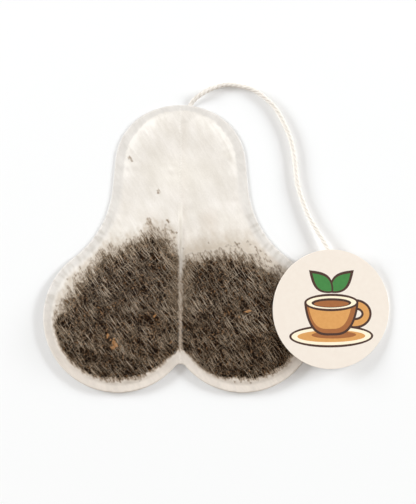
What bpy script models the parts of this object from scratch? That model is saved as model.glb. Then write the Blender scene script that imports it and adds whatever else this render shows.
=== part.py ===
"""Tea bag with two filled lobes, a string and a round card tag, lying on its back.

X runs across the bag, Y towards its narrow top and Z up from the table, which is at Z = 0.
The bag is two webs of filter paper, heat-sealed round the edge and down the middle.
"""

import math

import bmesh
import bpy
import numpy as np
from mathutils import Matrix, Vector
from mathutils.geometry import delaunay_2d_cdt

MM = 0.001

# Clearance between pieces that touch on the real bag
SEAT_GAP = 0.3 * MM

# Bag outline, right half: arcs that run into each other from the notch up to the crown
NOTCH_RADIUS = 1.65 * MM
NOTCH_HALF_ANGLE = math.radians(49.6)
LOBE_RADIUS = 17.65 * MM
FLANK_RADIUS = 23.1 * MM
FLANK_SWEEP = math.radians(47.7)
NECK_LENGTH = 7.0 * MM
NECK_TAPER = math.radians(5.7)
SHOULDER_RADIUS = 13.9 * MM
CROWN_HALF_ANGLE = math.radians(26.0)

# Filter paper, and the seals that join its two webs
PAPER_THICKNESS = 0.15 * MM
RIM_SEAL_WIDTH = 1.9 * MM
MIDDLE_SEAL_WIDTH = 0.7 * MM

# Pockets: how far the front web stands off the back web, and how far in from a seal it gets there
LOBE_FULLNESS = 4.1 * MM
LOBE_SLOPE_WIDTH = 11.0 * MM
NECK_FULLNESS = 0.6 * MM
NECK_SLOPE_WIDTH = 5.0 * MM
POCKET_CORNER = 3.0 * MM
SWELL_START = 13.0 * MM
SWELL_LENGTH = 20.0 * MM

# The seals stand a little off the table, and the back web comes down to it within this width
LOBE_SEAL_LIFT = 0.7 * MM
NECK_SEAL_LIFT = 0.1 * MM
LIFT_WIDTH = 4.0 * MM

# Tea: upper edge of each heap, as angle from +X in degrees and reach from the lobe's centre
TEA_INSET = 1.1 * MM
TEA_EDGE_THICKNESS = 0.2 * MM
TEA_SHOULDER = 4.0 * MM
LEFT_HEAP_EDGE = (
    (0.0, 14.0 * MM),
    (38.0, 18.5 * MM),
    (53.0, 23.2 * MM),
    (63.5, 25.8 * MM),
    (73.0, 24.8 * MM),
    (81.0, 20.6 * MM),
    (91.0, 17.2 * MM),
    (103.0, 16.2 * MM),
    (120.0, 14.2 * MM),
    (135.0, 13.4 * MM),
    (156.0, 14.0 * MM),
    (180.0, 15.6 * MM),
    (270.0, 15.6 * MM),
    (360.0, 14.0 * MM),
)
RIGHT_HEAP_EDGE = (
    (0.0, 15.6 * MM),
    (40.0, 14.6 * MM),
    (60.0, 14.8 * MM),
    (77.0, 15.6 * MM),
    (92.0, 16.2 * MM),
    (107.0, 17.0 * MM),
    (118.0, 17.8 * MM),
    (130.0, 19.2 * MM),
    (138.0, 19.6 * MM),
    (180.0, 14.2 * MM),
    (270.0, 15.6 * MM),
    (360.0, 15.6 * MM),
)

# Card tag: it leans on the right lobe and meets the table at its far edge
TAG_DIAMETER = 28.0 * MM
TAG_THICKNESS = 0.45 * MM
TAG_OVERLAP = 11.2 * MM
TAG_RAISE = 2.1 * MM
TAG_SEGMENTS = 96

# Print on the tag, in the tag's own plane: a cup on a saucer under two leaves, with brown outlines
OUTLINE_WIDTH = 0.55 * MM
CUP_RIM_RAISE = 1.6 * MM
CUP_HALF_WIDTH = 6.0 * MM
CUP_DEPTH = 7.2 * MM
CUP_MOUTH_HALF_HEIGHT = 1.5 * MM
TEA_IN_CUP_SHARE = 0.8
HANDLE_REACH = 5.7 * MM
HANDLE_DROP = 1.1 * MM
HANDLE_HALF_WIDTH = 3.5 * MM
HANDLE_HALF_HEIGHT = 2.9 * MM
HANDLE_THICKNESS = 1.4 * MM
SAUCER_DROP = 6.3 * MM
SAUCER_HALF_WIDTH = 9.6 * MM
SAUCER_HALF_HEIGHT = 2.1 * MM
SAUCER_RIM_WIDTH = 0.7 * MM
LEAF_FOOT_RAISE = 4.3 * MM
LEAF_LENGTH = 6.2 * MM
LEAF_WIDTH = 3.1 * MM
LEAF_ANGLES = (42.0, 138.0)

# String: from inside the top seal, over the table, to the back of the tag
STRING_DIAMETER = 1.1 * MM
STRING_STEP = 2.2 * MM
STRING_ROUTE_MM = (
    (1.85, 30.90, 1.12),
    (1.92, 31.90, 1.12),
    (2.08, 32.95, 1.12),
    (2.40, 33.90, 1.10),
    (3.55, 35.38, 0.92),
    (5.87, 37.04, 0.68),
    (8.50, 38.19, 0.60),
    (11.13, 38.74, 0.58),
    (14.42, 38.29, 0.58),
    (17.41, 37.37, 0.58),
    (20.37, 35.21, 0.58),
    (22.67, 32.75, 0.58),
    (24.31, 29.79, 0.58),
    (25.63, 26.83, 0.58),
    (26.47, 23.84, 0.58),
    (26.97, 20.55, 0.58),
    (27.30, 17.27, 0.58),
    (27.95, 13.95, 0.60),
    (28.94, 10.99, 0.64),
    (30.26, 7.70, 0.72),
    (31.90, 4.72, 0.86),
    (33.54, 2.09, 1.06),
    (34.86, -0.38, 1.26),
    (35.40, -3.40, 1.38),
    (35.50, -6.80, 1.38),
)
STRING_POINTS_IN_SEAL = 4
TUNNEL_SIDE_WIDTH = 1.5 * MM

# Mesh spacing
OUTLINE_STEP = 2.3 * MM
FIELD_STEP = 2.3 * MM
TUNNEL_STEP = 0.6 * MM
MEASURE_STEP = 0.2 * MM
HEAP_RAYS = 60
HEAP_RINGS = (0.3, 0.55, 0.75, 0.9, 1.0)
PRINT_SEGMENTS = 36

# Colours as linear red, green and blue
PAPER_COLOUR = (0.82, 0.78, 0.71)
TEA_COLOUR = (0.085, 0.060, 0.040)
STRING_COLOUR = (0.86, 0.81, 0.72)
CARD_COLOUR = (0.89, 0.81, 0.71)
TAN_COLOUR = (0.66, 0.32, 0.10)
CREAM_COLOUR = (0.92, 0.80, 0.58)
LEAF_COLOUR = (0.05, 0.20, 0.04)
BROWN_COLOUR = (0.045, 0.014, 0.005)
PAPER_ALPHA = 0.42


def clear_scene():
    for item in list(bpy.data.objects):
        bpy.data.objects.remove(item, do_unlink=True)


def make_material(name, colour, roughness, alpha=1.0):
    material = bpy.data.materials.new(name)
    material.use_nodes = True
    shader = material.node_tree.nodes["Principled BSDF"]
    shader.inputs["Base Color"].default_value = (*colour, 1.0)
    shader.inputs["Roughness"].default_value = roughness
    shader.inputs["Metallic"].default_value = 0.0
    shader.inputs["Alpha"].default_value = alpha
    return material


def add_object(name, data, *materials):
    item = bpy.data.objects.new(name, data)
    bpy.context.scene.collection.objects.link(item)
    for material in materials:
        data.materials.append(material)
    return item


def smoothstep(value):
    held = min(max(value, 0.0), 1.0)
    return held * held * (3.0 - 2.0 * held)


def direction(angle):
    return Vector((math.cos(angle), math.sin(angle)))


def arc(centre, radius, start, end, step):
    """Points along an arc, without its last one."""
    count = max(2, math.ceil(radius * abs(end - start) / step))
    return [centre + radius * direction(start + (end - start) * i / count) for i in range(count)]


class Outline:
    """Right half of the bag's edge from the notch to the crown, centred on the whole bag."""

    def __init__(self, step):
        half_turn = math.pi
        notch_angle = half_turn / 2 - NOTCH_HALF_ANGLE
        flank_angle = NECK_TAPER + FLANK_SWEEP
        crown_angle = half_turn / 2 - CROWN_HALF_ANGLE
        notch = Vector((0.0, -NOTCH_RADIUS))
        lobe = notch + (NOTCH_RADIUS + LOBE_RADIUS) * direction(notch_angle)
        flank = lobe + (LOBE_RADIUS + FLANK_RADIUS) * direction(flank_angle)
        neck_foot = flank - FLANK_RADIUS * direction(NECK_TAPER)
        neck_head = neck_foot + NECK_LENGTH * direction(NECK_TAPER + half_turn / 2)
        shoulder = neck_head - SHOULDER_RADIUS * direction(NECK_TAPER)
        crown_drop = shoulder.x / math.cos(crown_angle)
        crown = shoulder - crown_drop * direction(crown_angle)
        crown_radius = SHOULDER_RADIUS + crown_drop

        top = crown.y + crown_radius
        bottom = lobe.y - LOBE_RADIUS
        middle = Vector((0.0, (top + bottom) / 2))
        half = arc(notch, NOTCH_RADIUS, half_turn / 2, notch_angle, step)
        half += arc(lobe, LOBE_RADIUS, notch_angle - half_turn, flank_angle, step)
        half += arc(flank, FLANK_RADIUS, half_turn + flank_angle, half_turn + NECK_TAPER, step)
        half += [neck_foot.lerp(neck_head, i / 3) for i in range(3)]
        half += arc(shoulder, SHOULDER_RADIUS, NECK_TAPER, crown_angle, step)
        half += arc(crown, crown_radius, crown_angle, half_turn / 2, step)
        half.append(Vector((0.0, top)))

        right = [point - middle for point in half]
        left = [Vector((-point.x, point.y)) for point in reversed(right[1:-1])]
        self.points = right + left
        self.lobe = lobe - middle


OUTLINE = Outline(OUTLINE_STEP)
FINE_EDGE = np.array([tuple(point) for point in Outline(MEASURE_STEP).points])
STRING_ROUTE = [Vector(point) * MM for point in STRING_ROUTE_MM]
SEALED_ROUTE = STRING_ROUTE[:STRING_POINTS_IN_SEAL]


def edge_distance(x, y):
    return float(np.sqrt(((FINE_EDGE - (x, y)) ** 2).sum(axis=1).min()))


def pocket_depth(x, y):
    """How far a point lies inside its pocket from the nearest seal, rounded in the corners."""
    from_rim = edge_distance(x, y) - RIM_SEAL_WIDTH
    from_middle = abs(x) - MIDDLE_SEAL_WIDTH / 2
    corner = max(POCKET_CORNER - abs(from_rim - from_middle), 0.0)
    return max(min(from_rim, from_middle) - corner * corner / (4 * POCKET_CORNER), 0.0)


def fill_share(y):
    """0 in the empty neck, 1 where the lobes are full."""
    return smoothstep((SWELL_START - y) / SWELL_LENGTH)


def blend(neck, lobe, y):
    return neck + (lobe - neck) * fill_share(y)


def back_underside(x, y):
    lift = blend(NECK_SEAL_LIFT, LOBE_SEAL_LIFT, y)
    return lift * (1.0 - smoothstep(pocket_depth(x, y) / LIFT_WIDTH))


def string_distance(x, y):
    """Distance in plan to the stretch of string that lies in the top seal."""
    nearest = math.inf
    for start, end in zip(SEALED_ROUTE, SEALED_ROUTE[1:]):
        along = (end - start).to_2d()
        share = (Vector((x, y)) - start.to_2d()).dot(along) / along.length_squared
        foot = start.to_2d() + along * min(max(share, 0.0), 1.0)
        nearest = min(nearest, (Vector((x, y)) - foot).length)
    return nearest


def front_underside(x, y):
    full = blend(NECK_FULLNESS, LOBE_FULLNESS, y)
    slope_width = blend(NECK_SLOPE_WIDTH, LOBE_SLOPE_WIDTH, y)
    swell = full * math.sin(math.pi / 2 * min(pocket_depth(x, y) / slope_width, 1.0))
    beside = string_distance(x, y) - STRING_DIAMETER / 2 - SEAT_GAP
    tunnel = (STRING_DIAMETER + SEAT_GAP) * (1.0 - smoothstep(beside / TUNNEL_SIDE_WIDTH))
    return back_underside(x, y) + PAPER_THICKNESS + SEAT_GAP + max(swell, tunnel)


def inset_ring(inset):
    """Edge points moved straight inwards by the same amount, which stay clear of each other."""
    points = OUTLINE.points
    ring = []
    for i, point in enumerate(points):
        along = points[(i + 1) % len(points)] - points[i - 1]
        inwards = Vector((-along.y, along.x)).normalized()
        ring.append(point + inwards * inset)
    return ring


def lattice(step, low, high, keep):
    """Points of a triangular lattice that is even about X = 0."""
    row_height = step * math.sqrt(3) / 2
    found = []
    for row in range(math.floor(low.y / row_height), math.ceil(high.y / row_height) + 1):
        shift = step / 2 if row % 2 else 0.0
        columns = math.ceil(high.x / step) + 1
        for column in range(-columns, columns + 1):
            point = Vector((column * step + shift, row * row_height))
            if low.x <= point.x <= high.x and keep(point):
                found.append(point)
    return found


def sheet_points(with_tunnel):
    edge = OUTLINE.points
    spread = OUTLINE_STEP
    seal_foot = inset_ring(RIM_SEAL_WIDTH)
    slope_foot = inset_ring(RIM_SEAL_WIDTH + spread)
    width = max(point.x for point in edge)
    height = max(point.y for point in edge)
    half_seal = MIDDLE_SEAL_WIDTH / 2

    clear_of_string = STRING_DIAMETER / 2 + SEAT_GAP + TUNNEL_SIDE_WIDTH

    def in_tunnel(point):
        return with_tunnel and string_distance(point.x, point.y) < clear_of_string

    def in_field(point):
        inside = point_inside(point) and edge_distance(*point) > RIM_SEAL_WIDTH + 1.6 * spread
        return inside and abs(point.x) > half_seal + 0.8 * spread and not in_tunnel(point)

    points = list(edge)
    for foot, clear_of_seal in ((seal_foot, spread / 3), (slope_foot, spread / 2)):
        for point in foot:
            if abs(point.x) > half_seal + clear_of_seal and not in_tunnel(point):
                points.append(point)
    corner = Vector((width, height))
    points += lattice(FIELD_STEP, -corner, corner, in_field)
    rows = round(2 * height / FIELD_STEP)
    for row in range(rows + 1):
        y = -height + 2 * height * row / rows
        for x in (-half_seal, 0.0, half_seal):
            point = Vector((x, y))
            if point_inside(point) and edge_distance(x, y) > spread / 2 and not in_tunnel(point):
                points.append(point)
    if with_tunnel:
        def fine(point):
            return point_inside(point) and edge_distance(*point) > TUNNEL_STEP / 2 and in_tunnel(point)

        points += lattice(TUNNEL_STEP, -corner, corner, fine)
    return points


def point_inside(point):
    """Whether the bag's edge crosses the ray from the point towards +X an odd number of times."""
    x, y = FINE_EDGE.T
    next_x, next_y = np.roll(FINE_EDGE, -1, axis=0).T
    spans = (y > point.y) != (next_y > point.y)
    crossing = x[spans] + (point.y - y[spans]) * (next_x - x)[spans] / (next_y - y)[spans]
    return int((crossing > point.x).sum()) % 2 == 1


def make_web(name, height_of, material, with_tunnel=False):
    """One web of paper: a flat blank cut to the outline, shaped by height_of, with its thickness."""
    points = sheet_points(with_tunnel)
    rim = len(OUTLINE.points)
    vertices, _, faces, *_ = delaunay_2d_cdt(points, [], [list(range(rim))], 1, 1e-7)
    half = PAPER_THICKNESS / 2
    mesh = bpy.data.meshes.new(name)
    mesh.from_pydata([(v.x, v.y, height_of(v.x, v.y) + half) for v in vertices], [], faces)
    web = add_object(name, mesh, material)
    mesh.shade_smooth()
    paper = web.modifiers.new("paper thickness", "SOLIDIFY")
    paper.thickness = PAPER_THICKNESS
    paper.offset = 0.0
    paper.use_even_offset = True
    return web


def reach_to_wall(centre, heading):
    """How far a heap can spread from its lobe's centre before it meets a seal."""
    low = 0.0
    high = 2 * LOBE_RADIUS + NECK_LENGTH
    for _ in range(24):
        middle = (low + high) / 2
        point = centre + heading * middle
        own_side = point.x * centre.x > 0
        if own_side and point_inside(point) and pocket_depth(point.x, point.y) > TEA_INSET:
            low = middle
        else:
            high = middle
    return low


def heap_reach(edge, degrees):
    for (start, near), (end, far) in zip(edge, edge[1:]):
        if start <= degrees <= end:
            return near + (far - near) * smoothstep((degrees - start) / (end - start))
    return edge[-1][1]


def make_tea(name, side, edge, material):
    """Tea heaped in one lobe, lying 0.3 mm off both webs and thinning out towards its edge."""
    centre = Vector((side * OUTLINE.lobe.x, OUTLINE.lobe.y))
    shape = bmesh.new()
    rings = []
    for share in (0.0, *HEAP_RINGS):
        ring = []
        for ray in range(HEAP_RAYS if share else 1):
            degrees = 360.0 * ray / HEAP_RAYS
            heading = direction(math.radians(degrees))
            reach = min(heap_reach(edge, degrees), reach_to_wall(centre, heading))
            point = centre + heading * reach * share
            floor = back_underside(*point) + PAPER_THICKNESS + SEAT_GAP
            roof = front_underside(*point) - SEAT_GAP - TEA_EDGE_THICKNESS - floor
            swell = max(roof, 0.0) * smoothstep(reach * (1.0 - share) / TEA_SHOULDER)
            top = floor + TEA_EDGE_THICKNESS + swell
            ring.append((shape.verts.new((*point, floor)), shape.verts.new((*point, top))))
        rings.append(ring)
    lower_hub, upper_hub = rings[0][0]
    for i in range(HEAP_RAYS):
        j = (i + 1) % HEAP_RAYS
        shape.faces.new((lower_hub, rings[1][j][0], rings[1][i][0]))
        shape.faces.new((upper_hub, rings[1][i][1], rings[1][j][1]))
        for inner, outer in zip(rings[1:], rings[2:]):
            shape.faces.new((inner[i][0], inner[j][0], outer[j][0], outer[i][0]))
            shape.faces.new((inner[i][1], outer[i][1], outer[j][1], inner[j][1]))
        shape.faces.new((rings[-1][i][0], rings[-1][j][0], rings[-1][j][1], rings[-1][i][1]))
    bmesh.ops.triangulate(shape, faces=shape.faces)
    mesh = bpy.data.meshes.new(name)
    shape.to_mesh(mesh)
    shape.free()
    mesh.shade_smooth()
    return add_object(name, mesh, material)


def tag_place():
    """Centre of the tag in plan, and the lean that seats its underside on the lobe and the table."""
    radius = TAG_DIAMETER / 2
    centre = Vector((OUTLINE.lobe.x + LOBE_RADIUS + radius - TAG_OVERLAP, OUTLINE.lobe.y + TAG_RAISE))
    hinge = centre.x + radius
    steepest = 0.0
    for ring in (0.7, 0.85, 1.0):
        for i in range(TAG_SEGMENTS):
            point = centre + radius * ring * direction(math.tau * i / TAG_SEGMENTS)
            if point_inside(point):
                web_top = front_underside(*point) + PAPER_THICKNESS
                steepest = max(steepest, (web_top + SEAT_GAP) / (hinge - point.x))
    return centre, hinge, math.atan(steepest)


def ellipse(centre, half_width, half_height, count=PRINT_SEGMENTS):
    angles = [math.tau * i / count for i in range(count)]
    return [centre + Vector((half_width * math.cos(a), half_height * math.sin(a))) for a in angles]


def cup_bowl(margin):
    """Side view of the cup below its rim, drawn wider and deeper by the margin."""
    steps = 10
    sides = []
    for i in range(steps):
        turn = math.pi / 2 * i / steps
        half_width = (CUP_HALF_WIDTH + margin) * math.cos(turn) ** 0.6
        sides.append((half_width, CUP_RIM_RAISE - (CUP_DEPTH + margin) * math.sin(turn) ** 1.3))
    left = [Vector((-x, y)) for x, y in sides]
    foot = Vector((0.0, CUP_RIM_RAISE - CUP_DEPTH - margin))
    return left + [foot] + [Vector(side) for side in reversed(sides)]


def leaf(degrees, margin):
    """Outline of a pointed leaf whose width follows a sine along its length, wider by the margin."""
    along = direction(math.radians(degrees))
    across = Vector((-along.y, along.x))
    foot = Vector((0.0, LEAF_FOOT_RAISE)) - along * margin
    length = LEAF_LENGTH + 3 * margin
    steps = 9
    sides = []
    for sign, order in ((-1, range(steps + 1)), (1, range(steps - 1, 0, -1))):
        for i in order:
            share = i / steps
            half_width = (LEAF_WIDTH / 2 + margin) * math.sin(math.pi * share ** 0.85)
            sides.append(foot + along * length * share + across * sign * half_width)
    return sides


def print_fields():
    """Closed outlines of the print, each with the slot of its colour; later ones lie on top."""
    brown, tan, green, cream = 1, 2, 3, 4
    edge = OUTLINE_WIDTH
    saucer = Vector((0.0, -SAUCER_DROP))
    handle = Vector((HANDLE_REACH, -HANDLE_DROP))
    mouth = Vector((0.0, CUP_RIM_RAISE))
    inner_width = HANDLE_HALF_WIDTH - HANDLE_THICKNESS
    inner_height = HANDLE_HALF_HEIGHT - HANDLE_THICKNESS
    well_width = SAUCER_HALF_WIDTH - 2 * SAUCER_RIM_WIDTH
    well_height = SAUCER_HALF_HEIGHT - SAUCER_RIM_WIDTH
    fields = [
        (ellipse(saucer, SAUCER_HALF_WIDTH + edge, SAUCER_HALF_HEIGHT + edge), brown),
        (ellipse(saucer, SAUCER_HALF_WIDTH, SAUCER_HALF_HEIGHT), cream),
        (ellipse(saucer, well_width, well_height), tan),
        (ellipse(handle, HANDLE_HALF_WIDTH + edge, HANDLE_HALF_HEIGHT + edge), brown),
        (ellipse(handle, HANDLE_HALF_WIDTH, HANDLE_HALF_HEIGHT), tan),
        (ellipse(handle, inner_width, inner_height), brown),
        (ellipse(handle, inner_width - edge, inner_height - edge), 0),
        (cup_bowl(edge), brown),
        (cup_bowl(0.0), tan),
        (ellipse(mouth, CUP_HALF_WIDTH + edge, CUP_MOUTH_HALF_HEIGHT + edge), brown),
        (ellipse(mouth, CUP_HALF_WIDTH, CUP_MOUTH_HALF_HEIGHT), cream),
        (ellipse(mouth, CUP_HALF_WIDTH * TEA_IN_CUP_SHARE, CUP_MOUTH_HALF_HEIGHT * TEA_IN_CUP_SHARE), brown),
    ]
    for degrees in LEAF_ANGLES:
        fields += [(leaf(degrees, edge), brown), (leaf(degrees, 0.0), green)]
    return fields


def make_tag(*inks):
    """Card disc with its print as flat fields of colour on the upper face."""
    radius = TAG_DIAMETER / 2
    fields = [(ellipse(Vector((0.0, 0.0)), radius, radius, TAG_SEGMENTS), 0)] + print_fields()
    points = []
    loops = []
    for field, _ in fields:
        loops.append(list(range(len(points), len(points) + len(field))))
        points += field
    vertices, _, faces, _, _, sources = delaunay_2d_cdt(points, [], loops, 1, 1e-7)

    shape = bmesh.new()
    upper = [shape.verts.new((v.x, v.y, TAG_THICKNESS)) for v in vertices]
    for face, source in zip(faces, sources):
        made = shape.faces.new([upper[i] for i in face])
        made.material_index = fields[max(source)][1]
    rim = [edge for edge in shape.edges if edge.is_boundary]
    made = bmesh.ops.extrude_edge_only(shape, edges=rim)["geom"]
    lower = [item for item in made if isinstance(item, bmesh.types.BMVert)]
    for vert in lower:
        vert.co.z = 0.0
    for item in made:
        if isinstance(item, bmesh.types.BMFace):
            item.material_index = 0
    lower.sort(key=lambda vert: -math.atan2(vert.co.y, vert.co.x))
    shape.faces.new(lower).material_index = 0
    bmesh.ops.recalc_face_normals(shape, faces=shape.faces)
    centre, hinge, lean = tag_place()
    drop = Matrix.Translation((hinge, centre.y, 0.0)) @ Matrix.Rotation(lean, 4, "Y")
    shape.transform(drop @ Matrix.Translation((-radius, 0.0, 0.0)))
    mesh = bpy.data.meshes.new("tag")
    shape.to_mesh(mesh)
    shape.free()
    return add_object("tag", mesh, *inks)


def smooth_route(route, step):
    """Points at an even step along a smooth curve through the route's own points."""
    ends = [2 * route[0] - route[1], *route, 2 * route[-1] - route[-2]]
    fine = []
    for before, start, end, after in zip(ends, ends[1:], ends[2:], ends[3:]):
        for i in range(20):
            t = i / 20
            bend = 2 * before - 5 * start + 4 * end - after
            twist = 3 * start - before - 3 * end + after
            fine.append(start + ((end - before) * t + bend * t * t + twist * t ** 3) / 2)
    fine.append(route[-1])
    lengths = [0.0]
    for start, end in zip(fine, fine[1:]):
        lengths.append(lengths[-1] + (end - start).length)
    count = max(2, round(lengths[-1] / step))
    points = []
    for i in range(count + 1):
        target = lengths[-1] * i / count
        j = min(int(np.searchsorted(lengths, target, side="right")), len(fine) - 1)
        share = (target - lengths[j - 1]) / (lengths[j] - lengths[j - 1])
        points.append(fine[j - 1].lerp(fine[j], share))
    return points


def make_string(material):
    curve = bpy.data.curves.new("string", "CURVE")
    curve.dimensions = "3D"
    curve.bevel_depth = STRING_DIAMETER / 2
    curve.bevel_resolution = 2
    curve.use_fill_caps = True
    points = smooth_route(STRING_ROUTE, STRING_STEP)
    spline = curve.splines.new("POLY")
    spline.points.add(len(points) - 1)
    for target, point in zip(spline.points, points):
        target.co = (*point, 1.0)
    spline.use_smooth = True
    return add_object("string", curve, material)


clear_scene()
filter_paper = make_material("filter paper", PAPER_COLOUR, 0.9, PAPER_ALPHA)
dry_tea = make_material("dry tea", TEA_COLOUR, 0.85)
cotton = make_material("cotton string", STRING_COLOUR, 0.9)
tag_card = make_material("tag card", CARD_COLOUR, 0.7)
brown_ink = make_material("brown ink", BROWN_COLOUR, 0.6)
tan_ink = make_material("tan ink", TAN_COLOUR, 0.6)
green_ink = make_material("green ink", LEAF_COLOUR, 0.6)
cream_ink = make_material("cream ink", CREAM_COLOUR, 0.6)

make_web("paper_back", back_underside, filter_paper)
make_web("paper_front", front_underside, filter_paper, with_tunnel=True)
make_tea("tea_left", -1, LEFT_HEAP_EDGE, dry_tea)
make_tea("tea_right", 1, RIGHT_HEAP_EDGE, dry_tea)
make_tag(tag_card, brown_ink, tan_ink, green_ink, cream_ink)
make_string(cotton)
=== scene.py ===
"""Tea bag of see-through filter paper with two lobes of tea, a cotton string and a card tag.

Metres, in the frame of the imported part: X across the bag, Y to its narrow top, Z up from the table.
"""

import math

import bmesh
import bpy
import numpy as np
from mathutils import Matrix, Vector, noise
from mathutils.geometry import delaunay_2d_cdt
from mathutils.kdtree import KDTree


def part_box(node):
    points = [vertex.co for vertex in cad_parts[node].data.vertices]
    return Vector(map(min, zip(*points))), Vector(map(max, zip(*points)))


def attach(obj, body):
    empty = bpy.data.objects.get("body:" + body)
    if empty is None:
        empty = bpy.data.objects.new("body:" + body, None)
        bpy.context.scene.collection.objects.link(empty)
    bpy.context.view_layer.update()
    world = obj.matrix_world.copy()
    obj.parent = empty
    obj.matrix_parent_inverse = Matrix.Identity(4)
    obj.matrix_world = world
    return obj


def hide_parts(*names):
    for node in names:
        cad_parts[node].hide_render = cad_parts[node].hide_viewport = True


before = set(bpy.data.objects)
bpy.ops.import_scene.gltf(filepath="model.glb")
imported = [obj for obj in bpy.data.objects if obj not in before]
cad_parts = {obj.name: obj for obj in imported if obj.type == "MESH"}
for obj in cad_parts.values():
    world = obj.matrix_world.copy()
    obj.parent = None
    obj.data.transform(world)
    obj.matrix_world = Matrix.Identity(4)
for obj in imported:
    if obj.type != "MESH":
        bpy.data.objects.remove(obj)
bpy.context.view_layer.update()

# View. The bag lies flat on a table, and the camera looks straight down on it, as the photograph shows
# it. One pixel of the 416 by 504 photograph is 0.2349 mm on the bag, read from the round tag.
PIXEL = 0.0002349
PHOTO_SIZE = (416, 504)
PHOTO_MIDDLE = (208.0, 252.0)
BAG_MIDDLE_PIXEL = (180.3, 248.7)
LENS_MM = 100.0
SENSOR_MM = 36.0
FOCUS_HEIGHT = 0.002

camera_data = bpy.data.cameras.new("overhead camera")
camera_data.lens = LENS_MM
camera_data.sensor_width = SENSOR_MM
camera_data.sensor_fit = "AUTO"
camera_data.clip_start = 0.01
camera = bpy.data.objects.new("overhead camera", camera_data)
bpy.context.scene.collection.objects.link(camera)
camera.location = (
    (PHOTO_MIDDLE[0] - BAG_MIDDLE_PIXEL[0]) * PIXEL,
    (BAG_MIDDLE_PIXEL[1] - PHOTO_MIDDLE[1]) * PIXEL,
    FOCUS_HEIGHT + PHOTO_SIZE[1] * PIXEL * LENS_MM / SENSOR_MM,
)
bpy.context.scene.camera = camera

# String. Real piece: about 7 cm of white cotton yarn, three plies laid up together. One end is caught
# in the bag's top seal, and the other is fixed to the back of the tag. It lies limp on the table.
STRING_DIAMETER = 0.0011
STRING_PLIES = 3
STRING_LAY = 0.0036
STRING_SIDES = 8
STRING_SAMPLE = 0.00012
PLY_PRESS = 1.2
STRING_HAIRS = 260
HAIR_RADIUS = 0.000016
SEAL_SQUASH = 0.8
SEAL_SQUASH_LEVEL = 0.0001
SEAL_SQUASH_END = 0.0062
SEAL_SQUASH_FADE = 0.0028
STRING_ROUTE = [
    (0.00185, 0.03090, 0.00112),
    (0.00192, 0.03190, 0.00112),
    (0.00208, 0.03295, 0.00112),
    (0.00240, 0.03390, 0.00110),
    (0.00355, 0.03538, 0.00092),
    (0.00587, 0.03704, 0.00068),
    (0.00850, 0.03819, 0.00060),
    (0.01113, 0.03874, 0.00058),
    (0.01442, 0.03829, 0.00058),
    (0.01741, 0.03737, 0.00058),
    (0.02037, 0.03521, 0.00058),
    (0.02267, 0.03275, 0.00058),
    (0.02431, 0.02979, 0.00058),
    (0.02563, 0.02683, 0.00058),
    (0.02647, 0.02384, 0.00058),
    (0.02697, 0.02055, 0.00058),
    (0.02730, 0.01727, 0.00058),
    (0.02795, 0.01395, 0.00060),
    (0.02894, 0.01099, 0.00064),
    (0.03026, 0.00770, 0.00072),
    (0.03190, 0.00472, 0.00086),
    (0.03354, 0.00209, 0.00106),
    (0.03486, -0.00038, 0.00126),
    (0.03540, -0.00340, 0.00138),
    (0.03550, -0.00680, 0.00138),
]


def linear(hex_colour):
    """An sRGB hex colour as the linear red, green, blue and alpha that a shader takes."""
    values = [int(hex_colour[i:i + 2], 16) / 255 for i in (1, 3, 5)]
    return [v / 12.92 if v <= 0.04045 else ((v + 0.055) / 1.055) ** 2.4 for v in values] + [1.0]


def set_sockets(material, made, **sockets):
    """Gives each named socket of a node a value or a link. A name such as i6 stands for its number."""
    for key, value in sockets.items():
        name = key.replace("_", " ")
        place = made.inputs[int(name[1:])] if name[0] == "i" and name[1:].isdigit() else made.inputs[name]
        if isinstance(value, bpy.types.NodeSocket):
            material.node_tree.links.new(value, place)
        else:
            place.default_value = value


def add(material, kind, settings=(), **sockets):
    """Adds a shader node: settings are its own properties, and the rest are its sockets."""
    made = material.node_tree.nodes.new(kind)
    for key, value in dict(settings).items():
        setattr(made, key, value)
    set_sockets(material, made, **sockets)
    return made


def new_material(name):
    """A material with only its output, and its Principled shader already joined to it."""
    material = bpy.data.materials.new(name)
    material.use_nodes = True
    material.node_tree.nodes.clear()
    shader = add(material, "ShaderNodeBsdfPrincipled")
    add(material, "ShaderNodeOutputMaterial", Surface=shader.outputs["BSDF"])
    return material, shader


def add_piece(name, vertices, faces, materials):
    """A mesh piece that rides on the one body."""
    mesh = bpy.data.meshes.new(name)
    mesh.from_pydata(vertices, [], faces)
    piece = bpy.data.objects.new(name, mesh)
    bpy.context.scene.collection.objects.link(piece)
    for material in materials:
        mesh.materials.append(material)
    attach(piece, "root")
    return piece


def smooth_route(route, step):
    """Points at an even step along a smooth curve through the route's own points."""
    points = [Vector(point) for point in route]
    ends = [2 * points[0] - points[1], *points, 2 * points[-1] - points[-2]]
    steps = 40
    fine = []
    for before, start, end, after in zip(ends, ends[1:], ends[2:], ends[3:]):
        for i in range(steps):
            t = i / steps
            bend = 2 * before - 5 * start + 4 * end - after
            twist = 3 * start - before - 3 * end + after
            fine.append(start + ((end - before) * t + bend * t * t + twist * t ** 3) / 2)
    fine = np.array([*fine, points[-1]])
    lengths = np.concatenate([[0.0], np.cumsum(np.linalg.norm(np.diff(fine, axis=0), axis=1))])
    count = round(lengths[-1] / step)
    evenly = np.linspace(0.0, lengths[-1], count + 1)
    return np.stack([np.interp(evenly, lengths, fine[:, i]) for i in range(3)], axis=1), lengths[-1]


def path_directions(path):
    """Unit directions along, across and over a path, at each of its points."""
    along = np.gradient(path, axis=0)
    along /= np.linalg.norm(along, axis=1)[:, None]
    across = np.cross(along, (0.0, 0.0, 1.0))
    across /= np.linalg.norm(across, axis=1)[:, None]
    return along, across, np.cross(across, along)


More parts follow.
